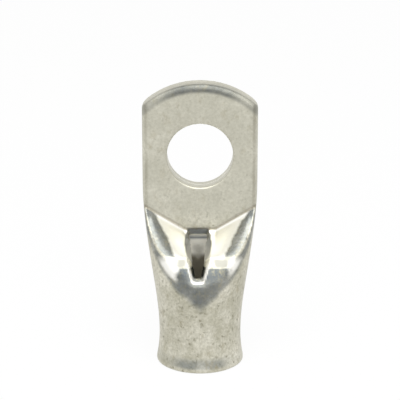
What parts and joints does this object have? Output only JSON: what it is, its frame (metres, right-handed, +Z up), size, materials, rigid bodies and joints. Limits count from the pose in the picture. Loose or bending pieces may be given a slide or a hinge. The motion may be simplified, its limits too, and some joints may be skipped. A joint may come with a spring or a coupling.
{
  "type": "cable lug",
  "caption": "Tinned copper tube lug: a flared barrel for a heavy cable, pressed into a flat palm with a stud hole and a wedge-shaped sight opening.",
  "frame": {"origin": "centre of the mouth's rim, where the barrel stands", "axes": "+Z up the barrel's axis to the palm's end, +Y out of the palm's flat contact face, +X to the right seen from the pressed front"},
  "size_m": [0.0184, 0.0138, 0.0446],
  "materials": {
    "tinned_copper": "tin-plated copper, warm pale grey, matte with burnished press marks"
  },
  "bodies": {
    "root": {"cable_lug": "tinned_copper"}
  },
  "joints": []
}
